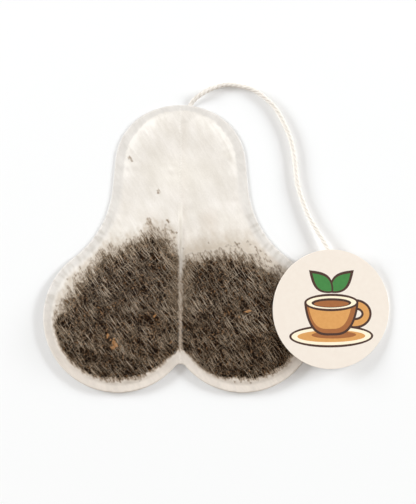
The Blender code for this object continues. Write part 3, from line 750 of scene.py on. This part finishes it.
def make_paper(name, dry, over_tea, sealed):
    """Paper whose opacity is dry away from the tea, over_tea where it is clear, and sealed in the seal."""
    paper, shader = new_material(name)
    place = add(paper, "ShaderNodeTexCoord").outputs["Object"]
    cover, veil, dust_and_shade, seal, fluff_and_light, weld, crease_shade, crimp, painted_light = (
        add(paper, "ShaderNodeAttribute", {"attribute_name": field}).outputs["Fac"] for field in (
            "tea_cover", "veil", "dust_and_painted_shade", "seal", "fluff_and_painted_light", "weld_line", "fold_shade", "crimp",
            "painted_light_field",
        )
    )

    # Each strand lies in a cell of its own, twice its length by four times its width. A slow shared
    # wave bends them all.
    wave = add(paper, "ShaderNodeTexNoise", {"noise_dimensions": "2D"}, Vector=place, Scale=200.0,
               Detail=1.0)
    sway = add(paper, "ShaderNodeVectorMath", {"operation": "MULTIPLY_ADD"}, i0=wave.outputs["Color"],
               i1=(0.0008, 0.0008, 0.0), i2=place)
    strands = None
    for turn, length, width, white in FIBRE_SETS:
        cell = add(paper, "ShaderNodeMapping", {"vector_type": "TEXTURE"}, Vector=sway.outputs[0],
                   Rotation=(0.0, 0.0, math.radians(turn)), Scale=(length / 500, width / 250, 1.0))
        near = add(paper, "ShaderNodeTexVoronoi", {"voronoi_dimensions": "2D"}, Vector=cell.outputs[0],
                   Scale=1.0)
        strand = add(paper, "ShaderNodeMapRange", Value=near.outputs["Distance"], From_Min=0.07,
                     From_Max=0.2, To_Min=white, To_Max=0.0)
        strands = strand.outputs[0] if strands is None else add(
            paper, "ShaderNodeMath", {"operation": "MAXIMUM"}, i0=strands, i1=strand.outputs[0]).outputs[0]

    # The felt itself is grainy, and brushed into clouds and long faint strokes
    felt = add(paper, "ShaderNodeTexNoise", {"noise_dimensions": "2D"}, Vector=place, Scale=2600.0,
               Detail=3.0, Roughness=0.65)
    brushed_place = add(paper, "ShaderNodeMapping", {"vector_type": "TEXTURE"}, Vector=place,
                        Rotation=(0.0, 0.0, math.radians(-60.0)), Scale=(0.008, 0.0036, 1.0))
    brushed = add(paper, "ShaderNodeTexNoise", {"noise_dimensions": "2D"},
                  Vector=brushed_place.outputs[0], Scale=1.0, Detail=4.0, Roughness=0.6)
    stroke_place = add(paper, "ShaderNodeMapping", {"vector_type": "TEXTURE"}, Vector=sway.outputs[0],
                       Rotation=(0.0, 0.0, math.radians(-58.0)), Scale=(0.0055, 0.0007, 1.0))
    strokes = add(paper, "ShaderNodeTexNoise", {"noise_dimensions": "2D"}, Vector=stroke_place.outputs[0],
                  Scale=1.0, Detail=2.0)
    laid = add(paper, "ShaderNodeMix", {"data_type": "FLOAT"}, Factor=0.2, i2=brushed.outputs["Fac"],
               i3=strokes.outputs["Fac"])
    cloudy = add(paper, "ShaderNodeMapRange", Value=laid.outputs[0], From_Min=0.3, From_Max=0.7,
                 To_Min=-0.05, To_Max=0.05)

    # Where tea touches the paper it turns clear, with a soft ragged border, and the strands show most
    wisp_place = add(paper, "ShaderNodeMapping", {"vector_type": "TEXTURE"}, Vector=sway.outputs[0],
                     Rotation=(0.0, 0.0, math.radians(-62.0)), Scale=(0.0014, 0.00035, 1.0))
    wisps = add(paper, "ShaderNodeTexNoise", {"noise_dimensions": "2D"}, Vector=wisp_place.outputs[0],
                Scale=1.0, Detail=2.0)
    ragged = add(paper, "ShaderNodeMath", {"operation": "MULTIPLY_ADD"}, i0=wisps.outputs["Fac"],
                 i1=0.7, i2=cover)
    clear = add(paper, "ShaderNodeMapRange", {"interpolation_type": "SMOOTHSTEP"},
                Value=ragged.outputs[0], From_Min=0.45, From_Max=1.3)
    plain = add(paper, "ShaderNodeMath", {"operation": "ADD"}, i0=cloudy.outputs[0], i1=dry)
    patches = add(paper, "ShaderNodeMapRange", Value=brushed.outputs["Fac"], From_Min=0.4, From_Max=0.7,
                  To_Min=over_tea - 0.05, To_Max=over_tea - 0.01)
    pressed = add(paper, "ShaderNodeMath", {"operation": "MULTIPLY_ADD"}, i0=veil, i1=0.12,
                  i2=patches.outputs[0])
    open_paper = add(paper, "ShaderNodeMix", {"data_type": "FLOAT"}, Factor=clear.outputs[0],
                     i2=plain.outputs[0], i3=pressed.outputs[0])
    strand_share = add(paper, "ShaderNodeMapRange", Value=clear.outputs[0], To_Min=0.1, To_Max=1.0)
    tufts = add(paper, "ShaderNodeMapRange", Value=wave.outputs["Fac"], From_Min=0.3, From_Max=0.7,
                To_Min=0.55, To_Max=1.15)
    strands_shown = add(paper, "ShaderNodeMath", {"operation": "MULTIPLY"}, i0=strands,
                        i1=strand_share.outputs[0])
    strand_white = add(paper, "ShaderNodeMath", {"operation": "MULTIPLY"}, i0=strands_shown.outputs[0],
                       i1=tufts.outputs[0])
    grain = add(paper, "ShaderNodeMapRange", Value=felt.outputs["Fac"], From_Min=0.45, From_Max=0.75,
                To_Min=0.0, To_Max=0.04)
    with_strands = add(paper, "ShaderNodeMath", {"operation": "ADD"}, i0=open_paper.outputs[0],
                       i1=strand_white.outputs[0])
    with_grain = add(paper, "ShaderNodeMath", {"operation": "ADD"}, i0=with_strands.outputs[0],
                     i1=grain.outputs[0])

    # The seal, the fluff on its inner edge, the painted light along the weld and the dashed weld line down
    # the middle
    rim = add(paper, "ShaderNodeMath", {"operation": "MULTIPLY_ADD"}, i0=cloudy.outputs[0], i1=2.0,
              i2=sealed)
    with_seal = add(paper, "ShaderNodeMix", {"data_type": "FLOAT"}, Factor=seal,
                    i2=with_grain.outputs[0], i3=rim.outputs[0])
    with_fluff = add(paper, "ShaderNodeMath", {"operation": "MULTIPLY_ADD"}, i0=fluff_and_light, i1=0.22,
                     i2=with_seal.outputs[0])
    dashes = add(paper, "ShaderNodeMapRange", Value=felt.outputs["Fac"], From_Min=0.4, From_Max=0.62,
                 To_Min=0.1, To_Max=1.1)
    line = add(paper, "ShaderNodeMath", {"operation": "MULTIPLY"}, i0=weld, i1=dashes.outputs[0])
    opacity = add(paper, "ShaderNodeMath", {"operation": "ADD", "use_clamp": True},
                  i0=with_fluff.outputs[0], i1=line.outputs[0])

    # Off-white felt, warmer low on the bag, with painted shade right of the weld, tan where it is clear,
    # and darker tan above the heaps for dust with painted shade. It is greyer in the seal, and whitest on
    # fluff, on the weld line and where painted light lies along the weld above the tea and half-way up the
    # neck
    mottle = add(paper, "ShaderNodeMapRange", Value=laid.outputs[0], From_Min=0.32, From_Max=0.68)
    warm = add(paper, "ShaderNodeMix", {"data_type": "RGBA"}, Factor=mottle.outputs[0],
               i6=linear("#E9E2D8"), i7=linear("#F1EBE4"))
    # Painted shade right of the weld, standing for the crease's shadow
    crease_shaded = add(paper, "ShaderNodeMix", {"data_type": "RGBA"}, Factor=crease_shade, i6=warm.outputs[2],
                 i7=linear("#E0D6CB"))
    height = add(paper, "ShaderNodeSeparateXYZ", Vector=place).outputs["Y"]
    low_down = add(paper, "ShaderNodeMapRange", Value=height, From_Min=-0.010, From_Max=-0.028)
    low_warm = add(paper, "ShaderNodeMix", {"data_type": "RGBA"}, Factor=low_down.outputs[0],
                   i6=crease_shaded.outputs[2], i7=linear("#ECE1D5"))
    wetted = add(paper, "ShaderNodeMix", {"data_type": "RGBA"}, Factor=strand_white.outputs[0],
                 i6=linear("#BFA280"), i7=linear("#F2E5D4"))
    stained = add(paper, "ShaderNodeMix", {"data_type": "RGBA"}, Factor=clear.outputs[0],
                  i6=low_warm.outputs[2], i7=wetted.outputs[2])
    # Painted shade and dust: darker tan above the heaps
    dusty_and_shaded = add(paper, "ShaderNodeMix", {"data_type": "RGBA"}, Factor=dust_and_shade, i6=stained.outputs[2],
                i7=linear("#C9BCAC"))
    pale = add(paper, "ShaderNodeMix", {"data_type": "RGBA"}, Factor=low_down.outputs[0],
               i6=linear("#EDE8E2"), i7=linear("#EFE5DA"))
    pinched = add(paper, "ShaderNodeMix", {"data_type": "RGBA"}, Factor=crimp, i6=pale.outputs[2],
                  i7=linear("#DDD7CF"))
    grey = add(paper, "ShaderNodeMix", {"data_type": "RGBA"}, Factor=seal, i6=dusty_and_shaded.outputs[2],
               i7=pinched.outputs[2])
    # Whiter on fluff, on the weld line and where painted light lies along the weld
    lit = add(paper, "ShaderNodeMath", {"operation": "MAXIMUM"}, i0=fluff_and_light, i1=line.outputs[0])
    bright = add(paper, "ShaderNodeMix", {"data_type": "RGBA"}, Factor=lit.outputs[0],
                 i6=grey.outputs[2], i7=linear("#F7F3ED"))
    # Painted light: whiter along the weld above the tea and half-way up the neck
    tone = add(paper, "ShaderNodeMix", {"data_type": "RGBA"}, Factor=painted_light, i6=bright.outputs[2],
               i7=linear("#FFF9EF"))
    relief = add(paper, "ShaderNodeMath", {"operation": "ADD"}, i0=felt.outputs["Fac"],
                 i1=strand_white.outputs[0])
    bump = add(paper, "ShaderNodeBump", Strength=0.3, Distance=0.00005, Height=relief.outputs[0])
    set_sockets(paper, shader, Base_Color=tone.outputs[2], Roughness=0.9, IOR=1.47,
                Specular_IOR_Level=0.2, Alpha=opacity.outputs[0], Normal=bump.outputs["Normal"])
    return paper


front_paper = make_paper("heat-sealed filter paper, front", 0.88, 0.0, 0.84)
back_paper = make_paper("heat-sealed filter paper, back", 0.6, 0.1, 0.5)

# Each share below says how far something holds at each point of the blank, from 0 to 1. Tea shows
# through the paper over a heap, but not along its upper edge, where the paper stands clear of it. It
# also shows at each loose flake, and half shows along the sealed line between the heaps, where the clear
# paper's tan is partly stain and partly painted shade in the crease between them.
blank_x, blank_y = blank.T
middle_gap = np.abs(blank_x)
flake_tree = KDTree(len(tea_spots))
for i, (x, y) in enumerate(tea_spots):
    flake_tree.insert((x, y, 0.0), i)
flake_tree.balance()
flake_gap = np.array([flake_tree.find((x, y, 0.0))[2] for x, y in blank])
heap_depth = np.maximum(heap_margin(blank, -1), heap_margin(blank, 1))
upper_side = smoothstep((blank_y + 0.022) / 0.012)
clear_width = (0.0008 + 0.0022 * upper_side) * (0.25 + 0.75 * smoothstep(middle_gap / 0.004))
over_heap = smoothstep(heap_depth / clear_width + 0.3)
over_flake = 0.6 * smoothstep(1.4 - flake_gap / 0.00036)
seam_width = 0.0002 + 0.0005 * smoothstep((blank_y + 0.003) / 0.005)
between_heaps = smoothstep((-0.003 - blank_y) / 0.005) * smoothstep((blank_y + 0.026) / 0.003)
seam_stain_and_shade = 0.58 * between_heaps * smoothstep(2.0 - middle_gap / 0.0004)
paper_cover = np.maximum(over_heap, over_flake) * smoothstep(middle_gap / seam_width)
paper_cover = np.maximum(paper_cover, seam_stain_and_shade)

# The paper is a little veiled over the heap's edge. Above the heap it is painted darker tan, partly for
# fine dust and partly as painted shade, more on the right, and most in a thin patch above the middle of
# each heap.
veil_share = (1.0 - smoothstep(heap_depth / 0.005)) * upper_side
dust_and_shade_reach = np.where(blank_x > 0.0, 0.008, 0.004)
dust_and_shade_share = smoothstep(heap_depth / dust_and_shade_reach + 1.0) * upper_side * (1.0 - 0.8 * paper_cover)
dust_and_shade_share *= 0.3 + 0.7 * smoothstep(middle_gap / 0.0012)
shade_patch_gap = np.hypot((middle_gap - 0.0066) / 0.0042, (blank_y - 0.0066) / 0.0042)
shade_patch_share = np.where(blank_x > 0.0, 0.55, 0.35) * (1.0 - smoothstep(shade_patch_gap))
dust_and_shade_share += shade_patch_share * (1.0 - paper_cover)

# The seal is narrow at the crown and wider down the sides. Up at the crown its inner edge is torn into
# white fluff, which is drawn out along the fibres.
seal_width = 0.0013 + 0.0009 * smoothstep((0.0335 - blank_y) / 0.007)
edge_wave = streaks(blank, 0.0, 0.0011, 0.0011, 3.0)
seal_gap = blank_gap - seal_width + 0.00025 * edge_wave
crown_share = smoothstep((blank_y - 0.0135) / 0.008)
seal_share = 1.0 - smoothstep(seal_gap / (0.0018 - 0.0015 * crown_share) + 0.5)
fluff_streaks = streaks(blank, math.radians(-60.0), 0.003, 0.0006, 6.0)
fluff_reach = seal_gap + 0.0006 * edge_wave + 0.0016 * fluff_streaks
fluff_and_light_share = smoothstep(seal_gap / 0.0003 + 0.6) * (1.0 - smoothstep(fluff_reach / 0.0027))
fluff_and_light_share = fluff_and_light_share * crown_share * (0.2 + 0.32 * smoothstep(middle_gap / 0.009))

# The weld down the middle is a thin white line that wanders a little, and is fainter up the neck
weld_wander = 0.00012 * np.sin(blank_y / 0.0021) + 0.00008 * np.sin(blank_y / 0.00087)
weld_share = smoothstep(1.3 - np.abs(blank_x + weld_wander) / 0.00016)
weld_share *= 0.17 + 0.34 * smoothstep((0.014 - blank_y) / 0.008)
weld_share *= 1.0 - 0.3 * smoothstep((-0.003 - blank_y) / 0.005)

# Right of the weld the felt was creased, and painted shade makes it a little darker down to the tea,
# as the crease's shadow
crease_shade_share = (1.0 - smoothstep(blank_x / 0.0026)) * smoothstep(blank_x / 0.0004 - 0.5)
crease_shade_share = 0.3 * crease_shade_share * smoothstep(blank_y / 0.004)

# Painted light makes the felt whiter along the weld just above the tea, against the shade of the valley
# there, and half-way up the neck. Along the weld it also joins the fluff.
weld_painted_light_share = smoothstep(1.6 - middle_gap / 0.0004) * smoothstep((blank_y + 0.0035) / 0.004)
weld_painted_light_share = 0.95 * weld_painted_light_share * smoothstep((0.0125 - blank_y) / 0.006)
fluff_and_light_share = np.maximum(fluff_and_light_share, 0.6 * weld_painted_light_share)
neck_gap = np.hypot(blank_x / 0.013, (blank_y - 0.0175) / 0.0085)
painted_light_share = np.maximum(weld_painted_light_share, 0.5 * (1.0 - smoothstep(neck_gap)))

# The seal has pinched short wrinkles into the paper, most of them down the flanks
crimp_wave = np.array([noise.noise((u / 0.0009, v / 0.003, 12.0)) for u, v in zip(blank_around, blank_gap)])
down_flanks = 1.0 - smoothstep((np.abs(blank_y + 0.003) - 0.008) / 0.007)
crimp_share = smoothstep((crimp_wave + 0.1) / 0.5) * (0.2 + 0.8 * down_flanks)

back_web = web_mesh("filter_paper_back", back_height(blank, blank_gap), [back_paper])
front_web = web_mesh("filter_paper_front", front_height(blank, blank_gap, blank_around), [front_paper])
paper_fields = {
    "tea_cover": paper_cover, "veil": veil_share, "dust_and_painted_shade": dust_and_shade_share, "seal": seal_share,
    "fluff_and_painted_light": fluff_and_light_share, "weld_line": weld_share, "fold_shade": crease_shade_share,
    "crimp": crimp_share, "painted_light_field": painted_light_share,
}
for web in (back_web, front_web):
    for name, values in paper_fields.items():
        set_field(web, name, values)
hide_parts("paper_back")
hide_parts("paper_front")

# Tag. Real piece: a disc die-cut from cream card about half a millimetre thick, printed on one side.
# It leans on the right lobe, with its far edge on the table. The print is a plain cup and two leaves.
TAG_RADIUS = 0.014
TAG_THICKNESS = 0.00045
TAG_EDGE_ROUND = 0.00006
TAG_MIDDLE = (0.035148, -0.014199)
tag_low, tag_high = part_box("tag")
tag_lean = math.asin((tag_high.z - tag_low.z - TAG_THICKNESS) / (2 * TAG_RADIUS))

# Uncoated card is matt and faintly mottled, with short fibres that show as tiny flecks.
tag_card, card_shader = new_material("uncoated cream card")
card_place = add(tag_card, "ShaderNodeTexCoord").outputs["Object"]
card_mottle = add(tag_card, "ShaderNodeTexNoise", Vector=card_place, Scale=900.0, Detail=4.0)
card_tone = add(tag_card, "ShaderNodeMix", {"data_type": "RGBA"}, Factor=card_mottle.outputs["Fac"],
                i6=linear("#EBDFD2"), i7=linear("#F1E7DB"))
card_tooth = add(tag_card, "ShaderNodeTexNoise", Vector=card_place, Scale=6000.0, Detail=2.0)
card_bump = add(tag_card, "ShaderNodeBump", Strength=0.25, Distance=0.00002,
                Height=card_tooth.outputs["Fac"])
set_sockets(tag_card, card_shader, Base_Color=card_tone.outputs[2], Roughness=0.8, IOR=1.5,
            Specular_IOR_Level=0.3, Normal=card_bump.outputs["Normal"])


def make_ink(name, light, dark):
    """Litho ink on uncoated card: flat, a little uneven where the card's tooth takes it up."""
    ink, shader = new_material(name)
    place = add(ink, "ShaderNodeTexCoord").outputs["Object"]
    uptake = add(ink, "ShaderNodeTexNoise", Vector=place, Scale=1500.0, Detail=4.0)
    tone = add(ink, "ShaderNodeMix", {"data_type": "RGBA"}, Factor=uptake.outputs["Fac"],
               i6=linear(dark), i7=linear(light))
    tooth = add(ink, "ShaderNodeTexNoise", Vector=place, Scale=6000.0, Detail=2.0)
    bump = add(ink, "ShaderNodeBump", Strength=0.2, Distance=0.00002, Height=tooth.outputs["Fac"])
    set_sockets(ink, shader, Base_Color=tone.outputs[2], Roughness=0.6, IOR=1.5,
                Normal=bump.outputs["Normal"])
    return ink


INKS = [
    tag_card,
    make_ink("dark brown print", "#4A2713", "#35190B"),
    make_ink("tan print", "#E0A55C", "#D0904A"),
    make_ink("russet print", "#A8672F", "#965726"),
    make_ink("cream print", "#FFF3DA", "#FBE9C8"),
    make_ink("leaf green print", "#3F8A3C", "#2F7431"),
]
CARD, BROWN, TAN, RUSSET, CREAM, GREEN = range(6)

# Sizes of the print in millimetres, as in the part
OUTLINE_WIDTH = 0.55
CUP_RIM_RAISE = 1.6
CUP_HALF_WIDTH = 6.0
CUP_DEPTH = 7.2
LEAF_FOOT_RAISE = 4.3
LEAF_LENGTH = 6.2
LEAF_WIDTH = 3.1
LEAF_TURNS = (42.0, 138.0)


def ellipse(x, y, wide, high, count=72):
    """Points round an ellipse in millimetres, from its middle and its half width and height."""
    turns = np.radians(np.linspace(0.0, 360.0, count, endpoint=False))
    return [(x + wide * math.cos(turn), y + high * math.sin(turn)) for turn in turns]


def cup_bowl(margin):
    """Side view of the cup below its rim, in millimetres, drawn wider and deeper by the margin."""
    sides = []
    steps = 24
    for i in range(steps):
        turn = math.pi / 2 * i / steps
        sides.append((
            (CUP_HALF_WIDTH + margin) * math.cos(turn) ** 0.6,
            CUP_RIM_RAISE - (CUP_DEPTH + margin) * math.sin(turn) ** 1.3,
        ))
    return [(-x, y) for x, y in sides] + [(0.0, CUP_RIM_RAISE - CUP_DEPTH - margin)] + sides[::-1]


def leaf(degrees, margin):
    """Pointed leaf in millimetres, whose width follows a sine along its length."""
    along = direction(math.radians(degrees))
    across = direction(math.radians(degrees + 90.0))
    foot = np.array([0.0, LEAF_FOOT_RAISE]) - along * margin
    sides = []
    for sign, order in ((-1, range(17)), (1, range(15, 0, -1))):
        for i in order:
            share = i / 16
            over = sign * (LEAF_WIDTH / 2 + margin) * math.sin(math.pi * share ** 0.85)
            sides.append(tuple(foot + along * (LEAF_LENGTH + 3 * margin) * share + across * over))
    return sides


# Each field of the print, in the order that it is laid down: saucer, handle, bowl, rim and leaves
PRINT = [
    (ellipse(0.0, -6.3, 9.6 + OUTLINE_WIDTH, 2.1 + OUTLINE_WIDTH), BROWN),
    (ellipse(0.0, -6.3, 9.6, 2.1), CREAM),
    (ellipse(0.0, -6.3, 8.2, 1.4), TAN),
    (ellipse(0.6, -6.0, 5.4, 0.85), RUSSET),
    (ellipse(5.7, -1.1, 3.5 + OUTLINE_WIDTH, 2.9 + OUTLINE_WIDTH), BROWN),
    (ellipse(5.7, -1.1, 3.5, 2.9), TAN),
    (ellipse(5.7, -1.1, 2.1, 1.5), BROWN),
    (ellipse(5.7, -1.1, 2.1 - OUTLINE_WIDTH, 1.5 - OUTLINE_WIDTH), CARD),
    (cup_bowl(OUTLINE_WIDTH), BROWN),
    (cup_bowl(0.0), RUSSET),
    ([(x - 0.35, y + 0.25) for x, y in cup_bowl(-0.75)], TAN),
    (ellipse(0.0, CUP_RIM_RAISE, CUP_HALF_WIDTH + OUTLINE_WIDTH, 1.5 + OUTLINE_WIDTH), BROWN),
    (ellipse(0.0, CUP_RIM_RAISE, CUP_HALF_WIDTH, 1.5), CREAM),
    (ellipse(0.0, 1.5, 4.8, 1.1), BROWN),
    (ellipse(0.0, 1.3, 4.2, 0.75), RUSSET),
]
for leaf_turn in LEAF_TURNS:
    PRINT += [(leaf(leaf_turn, OUTLINE_WIDTH), BROWN), (leaf(leaf_turn, 0.0), GREEN)]


def make_tag():
    """The disc with its print as faces of its own, and with its edge rounded over on both sides."""
    flat_radius = TAG_RADIUS - TAG_EDGE_ROUND
    fields = [(ellipse(0.0, 0.0, flat_radius * 1000, flat_radius * 1000, count=160), CARD), *PRINT]
    points = []
    loops = []
    for outline, _ in fields:
        loops.append(list(range(len(points), len(points) + len(outline))))
        points += [Vector(point) / 1000 for point in outline]
    made, _, faces, _, _, sources = delaunay_2d_cdt(points, [], loops, 1, 1e-8)
    shape = bmesh.new()
    vertices = [shape.verts.new((v.x, v.y, TAG_THICKNESS)) for v in made]
    for face, source in zip(faces, sources):
        shape.faces.new([vertices[i] for i in face]).material_index = fields[max(source)][1]
    loop = sorted({v for edge in shape.edges if edge.is_boundary for v in edge.verts},
                  key=lambda v: math.atan2(v.co.y, v.co.x))
    # How far each ring of the edge grows outwards and drops, in sizes of its rounding
    full_drop = TAG_THICKNESS / TAG_EDGE_ROUND
    rings = [loop]
    for grow, drop in (
        (0.7, 0.3), (1.0, 1.0), (1.0, full_drop - 1.0), (0.7, full_drop - 0.3), (0.0, full_drop),
    ):
        scale = (flat_radius + grow * TAG_EDGE_ROUND) / flat_radius
        rings.append([
            shape.verts.new((v.co.x * scale, v.co.y * scale, TAG_THICKNESS - drop * TAG_EDGE_ROUND))
            for v in loop
        ])
    for upper, lower in zip(rings, rings[1:]):
        for i in range(len(loop)):
            j = (i + 1) % len(loop)
            shape.faces.new((upper[i], lower[i], lower[j], upper[j]))
    shape.faces.new(rings[-1][::-1])
    place = Matrix.Translation((TAG_MIDDLE[0] + TAG_RADIUS, TAG_MIDDLE[1], 0.0))
    place = place @ Matrix.Rotation(tag_lean, 4, "Y") @ Matrix.Translation((-TAG_RADIUS, 0.0, 0.0))
    shape.transform(place)
    mesh = bpy.data.meshes.new("card_tag")
    shape.to_mesh(mesh)
    shape.free()
    tag = bpy.data.objects.new("card_tag", mesh)
    bpy.context.scene.collection.objects.link(tag)
    for ink in INKS:
        mesh.materials.append(ink)
    return tag


tag = make_tag()
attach(tag, "root")
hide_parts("tag")

# Studio. A plain white table under one soft light straight above it and two low ones to the left and
# right, which stand a little towards the bag's top. With an even warm fill, the shadows stay pale.
HALF_FLOOR = 1.5
FLOOR_DROP = 0.00002
WARM_FILL = (1.0, 0.935, 0.865, 1.0)
FILL_STRENGTH = 0.38

# Matt paint scatters the light evenly, so the table shows no gloss and only soft shadows.
floor_white, floor_shader = new_material("matt white table")
set_sockets(floor_white, floor_shader, Base_Color=linear("#F4F4F4"), Roughness=0.9,
            Specular_IOR_Level=0.1)
floor_mesh = bpy.data.meshes.new("white_table")
floor_corners = [(x * HALF_FLOOR, y * HALF_FLOOR, 0.0) for x, y in ((-1, -1), (1, -1), (1, 1), (-1, 1))]
floor_mesh.from_pydata(floor_corners, [], [(0, 1, 2, 3)])
floor_mesh.materials.append(floor_white)
floor = bpy.data.objects.new("white_table", floor_mesh)
bpy.context.scene.collection.objects.link(floor)
floor.location.z = -FLOOR_DROP

for name, place, size, power, colour in (
    ("high softbox", (0.0, 0.0, 1.7), (1.0, 1.0), 5.4, (1.0, 1.0, 1.0)),
    ("low softbox left", (-1.28, 0.42, 0.42), (0.7, 0.36), 20.5, (0.91, 0.96, 1.0)),
    ("low softbox right", (1.28, 0.42, 0.42), (0.7, 0.36), 20.5, (0.91, 0.96, 1.0)),
):
    softbox_data = bpy.data.lights.new(name, "AREA")
    softbox_data.shape = "RECTANGLE"
    softbox_data.size, softbox_data.size_y = size
    softbox_data.energy = power
    softbox_data.color = colour
    softbox = bpy.data.objects.new(name, softbox_data)
    bpy.context.scene.collection.objects.link(softbox)
    softbox.location = place
    softbox.rotation_euler = (-softbox.location).to_track_quat("-Z", "Y").to_euler()

world = bpy.data.worlds.new("pale studio")
world.use_nodes = True
world.node_tree.nodes["Background"].inputs["Color"].default_value = WARM_FILL
world.node_tree.nodes["Background"].inputs["Strength"].default_value = FILL_STRENGTH
bpy.context.scene.world = world
bpy.context.scene.view_settings.view_transform = "Standard"
